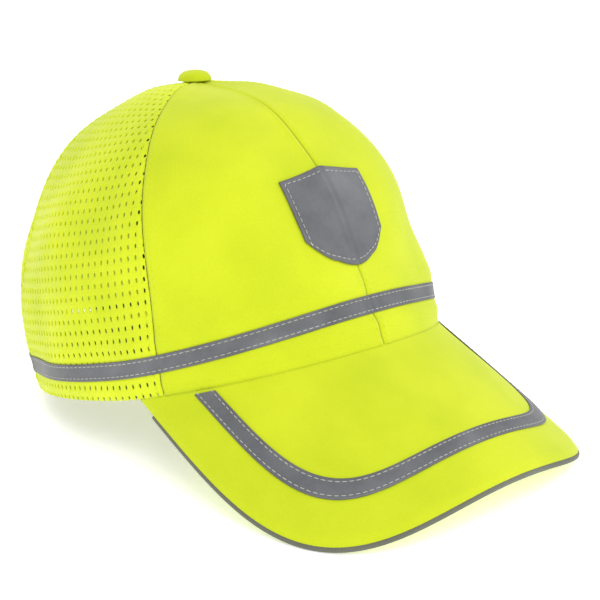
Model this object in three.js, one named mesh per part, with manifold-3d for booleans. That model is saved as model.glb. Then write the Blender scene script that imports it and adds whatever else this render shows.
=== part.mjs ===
// A baseball style bump cap: a six panel cloth cap with a stiff brim, a hard insert that slides up
// into the crown, and a hook and loop closure behind.
//
// The pieces are drawn in the cap's own frame: millimetres, the rim in the plane z = 0, the front
// towards -Y, the wearer's left towards +X. The finished cap then leans back until it stands on the
// closure band and the two corners of its brim.

import * as THREE from 'three';
import { mergeVertices } from 'three/addons/utils/BufferGeometryUtils.js';
import Module from 'manifold-3d';

const wasm = await Module();
wasm.setup();

const degree = Math.PI / 180;

// Crown, to the outside of its cloth. The shares are the control points of the curve that climbs
// from the rim to the button, at 0, 45, 90, 135 and 180 degrees round from the front: how far out
// they stand, as a share of the rim's own reach, and how high, as a share of the crown.
const crownFront = 93.5;
const crownBack = 100;
const crownHalfWidth = 88.5;
const crownHeight = 125.5;
const apexBack = 2.2;
const lowReach = [0.78, 0.96, 1.08, 1.2, 1.27];
const lowRise = [0.62, 0.64, 0.6, 0.55, 0.51];
const highReach = [0.79, 0.79, 0.71, 0.62, 0.57];
const highRise = [0.86, 0.92, 1.01, 1.04, 1.05];
const sideSeam = 62 * degree;
const rearSeam = 122 * degree;

// Sewn layers: gap is left between neighbours, and layer between curved sheets that lie together.
const cloth = 1.2;
const gap = 0.3;
const layer = 0.8;
const ribbon = 0.5;

// Brim: a sheet bent round an axis that leans down towards the front. Its bend opens a little on the
// way out: brimOpening is how much the bend's radius grows for each millimetre forwards.
const brimLean = 41.4 * degree;
const brimBend = crownHalfWidth + 26.5;
const brimOpening = 0.34;
const brimHalfWidth = crownHalfWidth + 8.5;
const brimLength = 75;
const brimTail = 40;
const brimPower = 4.1;
const brimRootAhead = 1;
const brimRootHeight = 4.7;
const brimCover = 0.6;
const brimBoard = 1.4;
const boardRoom = 1;
const boardInset = 3.2;
const pipingOut = 1.0;
const pipingIn = 2.0;

// Reflective tapes and badge.
const tapeWidth = 7.3;
const crownTapeSide = 8;
const crownTapeFront = 19;
const brimTapeHalfWidth = brimHalfWidth - 17.8;
const brimTapeLength = brimLength - 18.3;
const brimTapePower = 5;
const badgeWidth = 50;
const badgeHeight = 0.367 * crownHeight;
const badgeBottom = 0.303 * crownHeight;

// Opening and closure behind.
const archHalfAngle = 32 * degree;
const archHeight = 52;
const bindingWidth = 2.4;
const archTurns = [0, 15, 32, 53, 72, 90].map((angle) => angle * degree);
const strapWidth = 22;
const strapCloth = 1;
const fastener = 0.8;
const strapEnd = 41 * degree;
const peelAngle = 24.5 * degree;
const peelRoom = 1;
const hookTip = -24 * degree;
const hookLength = 20 * degree;
const loopTip = 20 * degree;

// Inside the rim.
const sweatbandHeight = 32;
const sweatband = 1.5;
const sweatbandEnd = 43 * degree;
const seamTapeWidth = 10;
const labelWidth = 26;
const labelHeight = 18;

// Button on the crown.
const buttonRadius = 7.6;
const buttonHeight = 4.6;
const rivetStem = 1.4;
const rivetFlange = 5;
const eyelet = 2.5;
const buttonLean = 10 * degree;

// Hard insert and its foam.
const insertGap = 3.6;
const insertTopDrop = 3;
const insertMouthRoom = 7.6;
const shell = 2.2;
const insertEdge = [31, 35, 40, 44, 45];
const foam = 6;
const ventCount = 10;
const ventLength = 22;
const ventWidth = 8;
const ventHeight = 80;
const crownPadRadius = 40;
const trimHeight = 3;

const lime = 0xd6e23a;
const colours = {
  solidCloth: lime,
  meshCloth: 0xe0e632,
  reflective: 0x77787b,
  board: 0xe9e9e2,
  piping: 0x8a8b7c,
  band: 0xc8d437,
  hook: 0xc9d33c,
  hard: 0xe3e7d6,
  foam: 0x3a3d40,
  trim: 0x1b1c1e,
  metal: 0xb9b9b4,
  label: 0xf1f1ec,
};

const mix = THREE.MathUtils.lerp;

function material(name, roughness = 0.85, metalness = 0) {
  return new THREE.MeshStandardMaterial({ color: colours[name], roughness, metalness });
}

function steps(from, to, count) {
  return Array.from({ length: count + 1 }, (_, i) => mix(from, to, i / count));
}

// The value of x between low and high where rising(x) turns from negative to positive.
function solve(rising, low, high) {
  for (let i = 0; i < 40; i++) {
    const middle = (low + high) / 2;
    if (rising(middle) < 0) low = middle;
    else high = middle;
  }
  return (low + high) / 2;
}

function bezier(a, b, c, d, t) {
  const s = 1 - t;
  return s * s * s * a + 3 * s * s * t * b + 3 * s * t * t * c + t * t * t * d;
}

// An even, smooth function of the angle that takes the given values at equal steps from 0 to 180
// degrees: the cosine series through them.
function around(values) {
  const last = values.length - 1;
  const series = values.map((_, k) => values.reduce((sum, value, j) => {
    const share = (k % last ? 1 : 0.5) * (j % last ? 1 : 0.5);
    return sum + (2 / last) * share * value * Math.cos((j * k * Math.PI) / last);
  }, 0));
  return (theta) => series.reduce((sum, part, k) => sum + part * Math.cos(k * theta), 0);
}

const lowReachAt = around(lowReach);
const lowRiseAt = around(lowRise);
const highReachAt = around(highReach);
const highRiseAt = around(highRise);
const insertEdgeAt = around(insertEdge);

// A point of the brim's sheet: w across and s forwards on the flat cloth, then a depth under it.
function brimPoint(w, s, depth = 0) {
  const bend = brimBend + brimOpening * s;
  const turn = w / bend;
  const forward = new THREE.Vector3(0, -Math.cos(brimLean), -Math.sin(brimLean));
  const up = new THREE.Vector3(0, -Math.sin(brimLean), Math.cos(brimLean));
  const radius = bend - depth;
  return new THREE.Vector3(radius * Math.sin(turn), -crownFront - brimRootAhead, brimRootHeight)
    .addScaledVector(forward, s)
    .addScaledVector(up, radius * Math.cos(turn) - bend);
}

// Height of the brim's top face above a point of the plan.
function brimHeightOver(x, y) {
  const over = (s) => {
    const bend = brimBend + brimOpening * s;
    return brimPoint(bend * Math.asin(x / bend), s);
  };
  return over(solve((s) => y - over(s).y, -2 * brimTail, brimLength)).z;
}

// The rim's plan: an oval that reaches crownFront forwards and crownBack behind.
function rimPlan(theta) {
  const depth = mix(crownBack, crownFront, (1 + Math.cos(theta)) / 2);
  return { x: crownHalfWidth * Math.sin(theta), y: -depth * Math.cos(theta) };
}

// The rim lies in its plane except in front, where it follows the brim up.
function rimHeight(theta) {
  const turn = Math.abs(Math.atan2(Math.sin(theta), Math.cos(theta)));
  const fade = 1 - THREE.MathUtils.smoothstep(turn, 62 * degree, 76 * degree);
  if (fade === 0) return 0;
  const plan = rimPlan(theta);
  const height = brimHeightOver(plan.x, plan.y);
  return fade * 0.5 * (height + Math.hypot(height, 1));
}

// The crown's outside, theta round from the front and t from 0 at the rim to 1 at the button.
function crownPoint(theta, t) {
  const reach = bezier(1, lowReachAt(theta), highReachAt(theta), 0, t);
  const low = lowRiseAt(theta) * crownHeight;
  const high = highRiseAt(theta) * crownHeight;
  const z = bezier(rimHeight(theta), low, high, crownHeight, t);
  const plan = rimPlan(theta);
  return new THREE.Vector3(reach * plan.x, mix(apexBack, plan.y, reach), z);
}

function fromAxis(point) {
  return Math.hypot(point.x, point.y - apexBack);
}

const topNormal = new THREE.Vector3(0, -Math.sin(buttonLean), Math.cos(buttonLean));

// A point a given depth under a surface that is swept like the crown.
function under(surface, theta, t, depth) {
  const point = surface(theta, t);
  const step = 1e-3;
  const across = surface(theta + step, t).sub(surface(theta - step, t));
  if (across.length() < 1e-9) return point.addScaledVector(topNormal, -depth);
  const up = surface(theta, Math.min(t + step, 1)).sub(surface(theta, t - step));
  const normal = across.cross(up).normalize();
  return point.addScaledVector(normal, -depth);
}

function crownUnder(theta, t, depth) {
  return under(crownPoint, theta, t, depth);
}

function levelAt(surface, theta, height) {
  return solve((t) => surface(theta, t).z - height, 0, 0.95);
}

// Where on its way up a gore has narrowed to this distance from the button's axis.
function levelAtRadius(surface, theta, radius) {
  return solve((t) => radius - fromAxis(surface(theta, t)), 0.5, 1);
}

function volumeOf(position, index) {
  const corner = [new THREE.Vector3(), new THREE.Vector3(), new THREE.Vector3()];
  let sum = 0;
  for (let i = 0; i < index.count; i += 3) {
    corner.forEach((point, k) => point.fromBufferAttribute(position, index.getX(i + k)));
    sum += corner[0].dot(corner[1].cross(corner[2])) / 6;
  }
  return sum;
}

// Moves every point of a closed geometry, joins its seams and leaves its faces pointing out.
function reshape(geometry, move) {
  geometry.deleteAttribute('normal');
  geometry.deleteAttribute('uv');
  const position = geometry.attributes.position;
  for (let i = 0; i < position.count; i++) {
    const point = move(position.getX(i), position.getY(i), position.getZ(i));
    position.setXYZ(i, point.x, point.y, point.z);
  }
  const joined = mergeVertices(geometry);
  const index = joined.index;
  if (volumeOf(joined.attributes.position, index) < 0) {
    for (let i = 0; i < index.count; i += 3) {
      const first = index.getX(i);
      index.setX(i, index.getX(i + 1));
      index.setX(i + 1, first);
    }
  }
  return joined;
}

// A slab with a grid of us by vs points on its outer (w = 1) and inner (w = 0) face.
function bentSlab(us, vs, place) {
  const nu = us.length - 1;
  const nv = vs.length - 1;
  return reshape(new THREE.BoxGeometry(nu, nv, 1, nu, nv, 1), (x, y, z) =>
    place(us[Math.round(x + nu / 2)], vs[Math.round(y + nv / 2)], z > 0 ? 1 : 0));
}

// A dome of even wall: v runs from 0 at its edge to 1 at its top, w from 0 inside to 1 outside.
function domeSlab(rings, segments, place) {
  const outside = steps(0, 1, rings).map((r) => new THREE.Vector2(r, 1));
  const inside = steps(1, 0, rings).map((r) => new THREE.Vector2(r, 0));
  const disc = new THREE.LatheGeometry([...outside, ...inside], segments);
  return reshape(disc, (x, y, z) => place(Math.atan2(x, -z), 1 - Math.hypot(x, z), y > 0.5 ? 1 : 0));
}

// A closed ring of four sided section, v and w from 0 to 1 across it.
function ringSlab(segments, place) {
  const corners = [[2, 0], [3, 0], [3, 1], [2, 1], [2, 0]].map(([r, y]) => new THREE.Vector2(r, y));
  const ring = new THREE.LatheGeometry(corners, segments);
  return reshape(ring, (x, y, z) => place(Math.atan2(x, -z), Math.round(Math.hypot(x, z)) - 2, y));
}

function turned(profile, segments = 20) {
  const points = profile.map(([r, z]) => new THREE.Vector2(r, z));
  const lathe = new THREE.LatheGeometry(points, segments);
  return reshape(lathe, (x, y, z) => new THREE.Vector3(x, -z, y));
}

function solidOf(geometry) {
  const vertProperties = new Float32Array(geometry.attributes.position.array);
  const triVerts = new Uint32Array(geometry.index.array);
  return new wasm.Manifold(new wasm.Mesh({ numProp: 3, vertProperties, triVerts }));
}

function geometryOf(solid) {
  const mesh = solid.getMesh();
  const geometry = new THREE.BufferGeometry();
  geometry.setAttribute('position', new THREE.BufferAttribute(mesh.vertProperties, 3));
  geometry.setIndex(new THREE.BufferAttribute(mesh.triVerts, 1));
  return geometry;
}

const cap = new THREE.Group();

function add(name, geometry, finish, parent = cap) {
  const mesh = new THREE.Mesh(geometry, finish);
  mesh.name = name;
  parent.add(mesh);
}

// ---- crown -------------------------------------------------------------------------------------

// The foot of the cloth at an angle: the rim, or the arch cut out behind.
function footHeight(theta) {
  const behind = (Math.PI - Math.abs(theta)) / archHalfAngle;
  if (behind >= 1) return rimHeight(theta);
  return archHeight * Math.sqrt(1 - behind * behind);
}

function goreAngles(from, to) {
  if (to < Math.PI - 1e-6) return steps(from, to, 8);
  const flank = steps(from, Math.PI - archHalfAngle, 5);
  const arch = archTurns.slice(1).map((turn) => Math.PI - Math.cos(turn) * archHalfAngle);
  return [...flank, ...arch];
}

// One gore between two seams, on the wearer's left (side = 1) or right (side = -1). Half the seam's
// gap is left along both of its edges.
function gore(from, to, side) {
  const angles = goreAngles(from, to);
  return bentSlab(angles, steps(0, 1, 9), (angle, v, w) => {
    const top = levelAtRadius(crownPoint, angle, eyelet);
    const foot = footHeight(angle) > 0 ? levelAt(crownPoint, angle, footHeight(angle)) : 0;
    const t = mix(foot, top, v);
    const trim = gap / 2 / fromAxis(crownPoint(angle, t));
    const theta = mix(from + trim, to - trim, (angle - from) / (to - from));
    return crownUnder(side * theta, t, (1 - w) * cloth);
  });
}

function addGores() {
  for (const [word, side] of [['left', 1], ['right', -1]]) {
    add(`front_panel_${word}`, gore(0, sideSeam, side), material('solidCloth'));
    add(`side_panel_${word}`, gore(sideSeam, rearSeam, side), material('meshCloth'));
    add(`rear_panel_${word}`, gore(rearSeam, Math.PI, side), material('meshCloth'));
  }
}

function seamTape(seam) {
  const start = Math.max(sweatbandHeight + 4, footHeight(seam) + bindingWidth + gap);
  const foot = levelAt(crownPoint, seam, start);
  const top = levelAtRadius(crownPoint, seam, seamTapeWidth * 1.25);
  return bentSlab(steps(foot, top, 9), [-0.5, 0.5], (t, across, w) => {
    const theta = seam + (across * seamTapeWidth) / fromAxis(crownPoint(seam, t));
    return crownUnder(theta, t, cloth + layer + (1 - w) * ribbon);
  });
}

function addSeamTapes() {
  const seams = {
    front: 0,
    side_left: sideSeam,
    side_right: -sideSeam,
    rear_left: rearSeam,
    rear_right: -rearSeam,
    rear: Math.PI,
  };
  for (const [word, seam] of Object.entries(seams)) {
    add(`seam_tape_${word}`, seamTape(seam), material('band'));
  }
}

function crownTapeFoot(theta) {
  return crownTapeSide + (crownTapeFront - crownTapeSide) * Math.max(Math.cos(theta), 0) ** 2;
}

function crownTape() {
  const end = Math.PI - archHalfAngle - 1 * degree;
  return bentSlab(steps(-end, end, 44), [0, 1], (theta, v, w) => {
    const t = levelAt(crownPoint, theta, crownTapeFoot(theta) + v * tapeWidth);
    return crownUnder(theta, t, -gap - w * ribbon);
  });
}

// A plain shield: straight sides, a low point at its foot and a shallow one at its top.
function shieldEdges(across) {
  const off = Math.abs(across);
  const foot = off < 0.5 ? 0.3 * off * off : 0.075 + 0.7 * (off - 0.5) ** 1.6;
  const top = 1 - 0.1 * off;
  return [foot, top];
}

function badge() {
  return bentSlab(steps(-1, 1, 10), steps(0, 1, 4), (across, v, w) => {
    const [foot, top] = shieldEdges(across);
    const t = levelAt(crownPoint, 0, badgeBottom + mix(foot, top, v) * badgeHeight);
    const theta = (across * badgeWidth) / 2 / fromAxis(crownPoint(0, t));
    return crownUnder(theta, t, -gap - w * ribbon);
  });
}

function archBinding() {
  const turns = [...archTurns, ...archTurns.slice(0, -1).reverse().map((turn) => Math.PI - turn)];
  return bentSlab(turns, [0, 1], (turn, v, w) => {
    const inset = layer + v * bindingWidth;
    const behind = (archHalfAngle - inset / crownBack) * Math.cos(turn);
    const height = (archHeight - inset) * Math.sin(turn);
    const theta = Math.PI - behind;
    const t = height > 0 ? levelAt(crownPoint, theta, height) : 0;
    return crownUnder(theta, t, w ? -gap : cloth);
  });
}

// ---- brim --------------------------------------------------------------------------------------

// How far a point in front stands outside the crown's cloth.
function clearOfCrown(point) {
  const theta = Math.atan2(point.x / crownHalfWidth, -point.y / crownFront);
  const t = point.z > rimHeight(theta) ? levelAt(crownPoint, theta, point.z) : 0;
  const nearest = Math.max(fromAxis(crownPoint(theta, 0)), fromAxis(crownPoint(theta, t)));
  return fromAxis(point) - nearest;
}

// Where a line along the sheet comes out from the crown's cloth, at a depth under the sheet.
function brimRoot(w, depth, room) {
  return solve((s) => clearOfCrown(brimPoint(w, s, depth)) - room, -brimTail - 14, brimTail);
}

// An outline on the flat sheet: a superellipse from the brim's tail, at an angle from its tip.
function outline([halfWidth, length, power], angle) {
  const side = Math.sign(angle) * Math.abs(Math.sin(angle)) ** (2 / power);
  const front = Math.abs(Math.cos(angle)) ** (2 / power);
  const s = -brimTail + (length + brimTail) * front;
  return { w: halfWidth * side, s };
}

// Angles that walk such an outline in even paces, and stop at the crown.
function outlineAngle(share, shape, depth, room) {
  const stop = solve((angle) => {
    const point = outline(shape, angle);
    return brimRoot(point.w, depth, room) - point.s;
  }, 45 * degree, 90 * degree);
  const pace = 1.6;
  const near = Math.abs(share) ** pace;
  const far = (1 - Math.abs(share)) ** pace;
  return (Math.sign(share) * stop * near) / (near + far);
}

// The angles where the brim's strips meet: an even number of them, so that one strip is in the middle.
const brimShape = [brimHalfWidth, brimLength, brimPower];
const brimStations = Array.from({ length: 20 }, (_, i) =>
  outlineAngle(((i - 9.5) / 9.5) * 0.93, brimShape, 0, gap));

// One layer of the brim between two depths, cut back by an inset from the brim's edge, in strips that
// run fore and aft.
function brimLayer(high, low, inset, room) {
  const shape = [brimHalfWidth - inset, brimLength - inset, brimPower];
  return bentSlab(brimStations, [0, 0.5, 1], (angle, v, w) => {
    const depth = w ? high : low;
    const front = outline(shape, angle);
    return brimPoint(front.w, mix(brimRoot(front.w, depth, room), front.s, v), depth);
  });
}

// A band that follows an outline from one side of the crown round to the other.
function brimBand(outer, inner, high, low, room) {
  const stations = steps(-1, 1, 36).map((share) =>
    [inner, outer].map((shape) => outline(shape, outlineAngle(share, shape, low, room))));
  return bentSlab(stations, [0, 1], (station, v, w) =>
    brimPoint(station[v].w, station[v].s, w ? high : low));
}

const boardTop = brimCover + boardRoom;
const boardFoot = boardTop + brimBoard;
const underTop = boardFoot + layer;
const underFoot = underTop + brimCover;

function addBrim() {
  add('brim_top_cover', brimLayer(0, brimCover, 0, gap), material('solidCloth'));
  add('brim_board', brimLayer(boardTop, boardFoot, boardInset, 1.5), material('board', 0.5));
  add('brim_under_cover', brimLayer(underTop, underFoot, 0, gap), material('solidCloth'));
  const edge = [brimHalfWidth + pipingOut, brimLength + pipingOut, brimPower];
  const hidden = [brimHalfWidth - pipingIn, brimLength - pipingIn, brimPower];
  add('brim_edge_piping', brimBand(edge, hidden, boardTop, boardFoot, 2), material('piping'));
  const outer = [brimTapeHalfWidth, brimTapeLength, brimTapePower];
  const inner = [brimTapeHalfWidth - tapeWidth, brimTapeLength - tapeWidth, brimTapePower];
  add('brim_tape', brimBand(outer, inner, -gap - ribbon, -gap, 1), material('reflective', 0.5));
}

// ---- rim and closure ---------------------------------------------------------------------------

// The straight wall from the rim up to a height, as a stiff band follows it where the crown bulges.
function wall(top) {
  return (theta, share) => {
    const head = crownPoint(theta, levelAt(crownPoint, theta, top));
    return crownPoint(theta, 0).lerp(head, share);
  };
}

// A strip of that wall between two of its shares, at a depth under the crown's cloth.
function rimStrip(top, angles, [low, high], depth, thick) {
  return bentSlab(angles, [low, high], (theta, share, w) =>
    under(wall(top), theta, share, depth + (1 - w) * thick));
}

function addRim() {
  const end = Math.PI - sweatbandEnd;
  const bandDepth = cloth + layer;
  const band = steps(-end, end, 44);
  add('sweatband', rimStrip(sweatbandHeight, band, [0, 1], bandDepth, sweatband), material('band'));
  const labelDepth = bandDepth + sweatband + gap;
  const labelFrom = -end + 4 * degree;
  const label = steps(labelFrom, labelFrom + labelWidth / crownBack, 4);
  const labelSpan = [0.25, 0.25 + labelHeight / sweatbandHeight];
  add('care_label', rimStrip(sweatbandHeight, label, labelSpan, labelDepth, ribbon), material('label'));
  add('rear_arch_binding', archBinding(), material('solidCloth'));
}

// Angles behind are counted from the middle of the back, positive towards the wearer's left.
function behind(angle) {
  return Math.PI - angle;
}

const hookDepth = cloth + layer;
const hookPatchDepth = hookDepth + strapCloth + gap;
const loopPatchDepth = hookPatchDepth + fastener + gap;
const loopDepth = loopPatchDepth + fastener + gap;

function strap(from, to, span, depth, thick) {
  return rimStrip(strapWidth, steps(behind(from), behind(to), 14), span, depth, thick);
}

function addClosure() {
  const margin = 2 * degree;
  const room = peelRoom / crownBack;
  const lifted = [0.1, 1];
  const patch = [0.14, 0.91];
  const root = strap(strapEnd, peelAngle + room, lifted, hookDepth, strapCloth);
  const flap = strap(peelAngle - room, hookTip, lifted, hookDepth, strapCloth);
  const hooks = strap(hookTip + hookLength, hookTip + margin, patch, hookPatchDepth, fastener);
  const loops = strap(loopTip - margin, hookTip + margin, patch, loopPatchDepth, fastener);
  const lower = strap(loopTip, -strapEnd, [0, 1], loopDepth, strapCloth);
  add('hook_strap_root', root, material('solidCloth'));
  add('hook_strap', flap, material('solidCloth'));
  add('hook_patch', hooks, material('hook'));
  add('loop_patch', loops, material('band'));
  add('loop_strap', lower, material('solidCloth'));
}

// ---- button ------------------------------------------------------------------------------------

function domeProfile(radius, height, base, count) {
  return steps(0, 90, count).map((a) => [radius * Math.sin(a * degree), base + height * Math.cos(a * degree)]);
}

// The button sits on the top of the crown, where the cloth slopes down towards the front.
function addButton() {
  const button = new THREE.Group();
  button.position.set(0, apexBack, crownHeight);
  button.rotation.x = buttonLean;
  cap.add(button);
  const base = 2 * gap;
  const skin = 0.8;
  const outer = domeProfile(buttonRadius, buttonHeight, base, 5);
  const inner = domeProfile(buttonRadius - skin, buttonHeight - skin, base, 5).reverse();
  add('button_cover', turned([...outer, ...inner]), material('solidCloth'), button);
  const core = domeProfile(buttonRadius - skin - gap, buttonHeight - skin - gap, base, 4);
  add('button_core', turned([...core, [0, base]]), material('metal', 0.4, 1), button);
  const flangeTop = -cloth - 2 * layer;
  const rivet = [
    [0, base - gap],
    [rivetStem, base - gap],
    [rivetStem, flangeTop],
    [rivetFlange, flangeTop],
    [rivetFlange, flangeTop - 0.6],
    [rivetFlange - 1, flangeTop - 1],
    [0, flangeTop - 1],
  ];
  add('button_rivet', turned(rivet), material('metal', 0.4, 1), button);
}

// ---- insert ------------------------------------------------------------------------------------

// The insert's outside: a little under the crown, and drawn in wherever the crown is wider than the
// mouth that the insert comes out through.
function insertPoint(theta, t) {
  const point = crownUnder(theta, t, insertGap + insertTopDrop * t ** 4);
  const depth = (point.y < 0 ? crownFront : crownBack) - insertMouthRoom;
  const level = Math.hypot(point.x / (crownHalfWidth - insertMouthRoom), point.y / depth);
  const draw = (1 + level ** 12) ** (-1 / 12);
  return new THREE.Vector3(point.x * draw, mix(apexBack, point.y, draw), point.z);
}

function insertUnder(theta, t, depth) {
  return under(insertPoint, theta, t, depth);
}

function insertFoot(theta) {
  return levelAt(insertPoint, theta, insertEdgeAt(theta));
}

// A round ended slot, standing square to the shell with its length up the dome.
function ventCutter(theta) {
  const half = ventWidth / 2;
  const reach = ventLength / 2 - half;
  const slot = new THREE.Shape();
  slot.moveTo(half, -reach);
  slot.lineTo(half, reach);
  slot.absarc(0, reach, half, 0, Math.PI, false);
  slot.lineTo(-half, -reach);
  slot.absarc(0, -reach, half, Math.PI, 2 * Math.PI, false);
  const cutter = new THREE.ExtrudeGeometry(slot, { depth: 30, bevelEnabled: false, curveSegments: 5 });
  const t = levelAt(insertPoint, theta, ventHeight);
  const centre = insertPoint(theta, t);
  const up = insertPoint(theta, t + 0.01).sub(insertPoint(theta, t - 0.01)).normalize();
  const out = centre.clone().sub(insertUnder(theta, t, 1)).normalize();
  const pose = new THREE.Matrix4().makeBasis(up.clone().cross(out), up, out);
  pose.setPosition(centre.addScaledVector(out, -15));
  cutter.applyMatrix4(pose);
  return solidOf(reshape(cutter, (x, y, z) => new THREE.Vector3(x, y, z)));
}

function insertShell() {
  let solid = solidOf(domeSlab(9, 36, (theta, v, w) =>
    insertUnder(theta, mix(insertFoot(theta), 1, v), (1 - w) * shell)));
  for (let i = 0; i < ventCount; i++) {
    solid = solid.subtract(ventCutter(((i + 0.5) * 2 * Math.PI) / ventCount));
  }
  return geometryOf(solid);
}

function edgeTrim() {
  return ringSlab(36, (theta, v, w) => {
    const height = insertEdgeAt(theta) - gap - v * trimHeight;
    const t = levelAt(insertPoint, theta, height);
    return insertUnder(theta, t, w ? -0.5 : shell + 0.5);
  });
}

const foamTop = shell + 1.2;

function sidePad(from, to, foot, head) {
  return bentSlab(steps(from * degree, to * degree, 6), steps(0, 1, 2), (theta, v, w) => {
    const t = levelAt(insertPoint, theta, mix(foot, head, v));
    return insertUnder(theta, t, foamTop + (1 - w) * foam);
  });
}

function crownPad() {
  return domeSlab(4, 24, (theta, v, w) => {
    const edge = levelAtRadius(insertPoint, theta, crownPadRadius);
    return insertUnder(theta, mix(edge, 1, v), foamTop + (1 - w) * foam);
  });
}

function addInsert() {
  add('insert_shell', insertShell(), material('hard', 0.45));
  add('insert_edge_trim', edgeTrim(), material('trim'));
  add('crown_pad', crownPad(), material('foam'));
  add('front_pad', sidePad(-48, 48, 36, 60), material('foam'));
  add('rear_pad', sidePad(146, 214, 49, 66), material('foam'));
  add('left_pad', sidePad(70, 122, 46, 64), material('foam'));
  add('right_pad', sidePad(-122, -70, 46, 64), material('foam'));
}

addGores();
addSeamTapes();
add('crown_tape', crownTape(), material('reflective', 0.5));
add('front_badge', badge(), material('reflective', 0.5));
addBrim();
addRim();
addClosure();
addButton();
addInsert();

// How far the cap leans back: the steepest line from the foot of the closure band down to a point of
// the brim's lower edge is the surface that it stands on.
function standingLean() {
  const heel = under(wall(strapWidth), Math.PI, 0, loopDepth);
  const angles = steps(0, 1, 60).map((share) =>
    outline(brimShape, share * 90 * degree));
  return Math.max(...angles.map(({ w, s }) => {
    const toe = brimPoint(w, s, underFoot);
    return Math.atan2(heel.z - toe.z, heel.y - toe.y);
  }));
}

const bumpCap = new THREE.Group();
bumpCap.add(cap);
cap.rotation.x = -standingLean();
const box = new THREE.Box3().setFromObject(bumpCap, true);
const middle = box.getCenter(new THREE.Vector3());
cap.position.set(-middle.x, -middle.y, -box.min.z);

export default bumpCap;
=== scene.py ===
import math

import bmesh
import bpy
import numpy as np
from mathutils import Matrix, Vector


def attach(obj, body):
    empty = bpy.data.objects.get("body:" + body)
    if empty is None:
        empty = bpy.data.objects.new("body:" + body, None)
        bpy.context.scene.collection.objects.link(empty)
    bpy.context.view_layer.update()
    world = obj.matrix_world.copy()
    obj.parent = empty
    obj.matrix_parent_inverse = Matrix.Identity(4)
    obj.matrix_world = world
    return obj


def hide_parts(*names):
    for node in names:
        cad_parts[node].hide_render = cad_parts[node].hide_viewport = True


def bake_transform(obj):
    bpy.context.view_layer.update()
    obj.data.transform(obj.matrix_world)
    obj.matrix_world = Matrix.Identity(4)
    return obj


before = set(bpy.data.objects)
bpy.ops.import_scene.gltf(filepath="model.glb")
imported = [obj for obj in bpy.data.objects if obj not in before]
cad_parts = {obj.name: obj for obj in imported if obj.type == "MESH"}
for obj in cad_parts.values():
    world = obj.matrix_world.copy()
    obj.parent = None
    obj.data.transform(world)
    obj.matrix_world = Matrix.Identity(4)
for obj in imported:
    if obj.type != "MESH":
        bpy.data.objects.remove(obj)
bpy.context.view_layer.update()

print("frame loaded")

# Lengths are millimetres in the cap's own frame, with the rim in the plane z = 0, the front towards
# -Y and the wearer's left towards +X, until toRow turns them to metres in the leaned frame.
degree = math.pi / 180
weldGap = 2e-5  # metres
lean = {"angle": 14.503288 * degree, "back": 22.379251, "up": 22.405073}

crown = {
    "front": 93.5, "back": 100.0, "halfWidth": 88.5, "height": 125.5, "apexBack": 2.2,
    "lowReach": [0.78, 0.96, 1.08, 1.2, 1.27], "lowRise": [0.62, 0.64, 0.6, 0.55, 0.51],
    "highReach": [0.79, 0.79, 0.71, 0.62, 0.57], "highRise": [0.86, 0.92, 1.01, 1.04, 1.05],
    "sideSeam": 62 * degree, "rearSeam": 122 * degree, "topLean": 10 * degree,
    "archHalfAngle": 32 * degree, "archHeight": 52.0,
}
brim = {
    "lean": 41.4 * degree, "bend": 115.0, "opening": 0.34, "halfWidth": 97.0, "length": 75.0,
    "tail": 40.0, "power": 4.1, "rootAhead": 1.0, "rootHeight": 4.7,
}


def mix(a, b, t):
    return a + (b - a) * t


def ease(x, low, high):
    t = np.clip((np.asarray(x, float) - low) / (high - low), 0, 1)
    return t * t * (3 - 2 * t)


def hump(x, middle, width):
    return np.exp(-(((x - middle) / width) ** 2))


def alike(*values):
    return np.broadcast_arrays(*(np.asarray(v, float) for v in values))


def wrapped(theta):
    return (np.asarray(theta, float) + math.pi) % (2 * math.pi) - math.pi


def toRow(p):
    p = np.asarray(p, float)
    c, s = math.cos(lean["angle"]), math.sin(lean["angle"])
    y = p[..., 1] * c + p[..., 2] * s + lean["back"]
    z = -p[..., 1] * s + p[..., 2] * c + lean["up"]
    return np.stack([p[..., 0], y, z], -1) / 1000


def around(values):
    # The cosine series through values at equal steps from 0 to 180 degrees.
    last = len(values) - 1
    k = np.arange(last + 1)
    half = np.where(k % last, 1.0, 0.5)
    table = np.cos(np.outer(k, k) * math.pi / last)
    series = (2 / last) * half * (table @ (half * np.array(values, float)))
    return lambda theta: sum(part * np.cos(i * theta) for i, part in enumerate(series))


def solve(rising, low, high, shape):
    low, high = np.full(shape, float(low)), np.full(shape, float(high))
    for _ in range(26):
        middle = (low + high) / 2
        below = rising(middle) < 0
        low, high = np.where(below, middle, low), np.where(below, high, middle)
    return (low + high) / 2


def bezier(a, b, c, d, t):
    s = 1 - t
    return s * s * s * a + 3 * s * s * t * b + 3 * s * t * t * c + t * t * t * d


lowReachAt, lowRiseAt = around(crown["lowReach"]), around(crown["lowRise"])
highReachAt, highRiseAt = around(crown["highReach"]), around(crown["highRise"])


def brimPoint(w, s, depth=0.0):
    w, s, depth = alike(w, s, depth)
    bend = brim["bend"] + brim["opening"] * s
    turn = w / bend
    rise = (bend - depth) * np.cos(turn) - bend
    c, q = math.cos(brim["lean"]), math.sin(brim["lean"])
    y = -crown["front"] - brim["rootAhead"] - s * c - rise * q
    return np.stack([(bend - depth) * np.sin(turn), y, brim["rootHeight"] - s * q + rise * c], -1)


def rimPlan(theta):
    depth = mix(crown["back"], crown["front"], (1 + np.cos(theta)) / 2)
    return crown["halfWidth"] * np.sin(theta), -depth * np.cos(theta)


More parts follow.
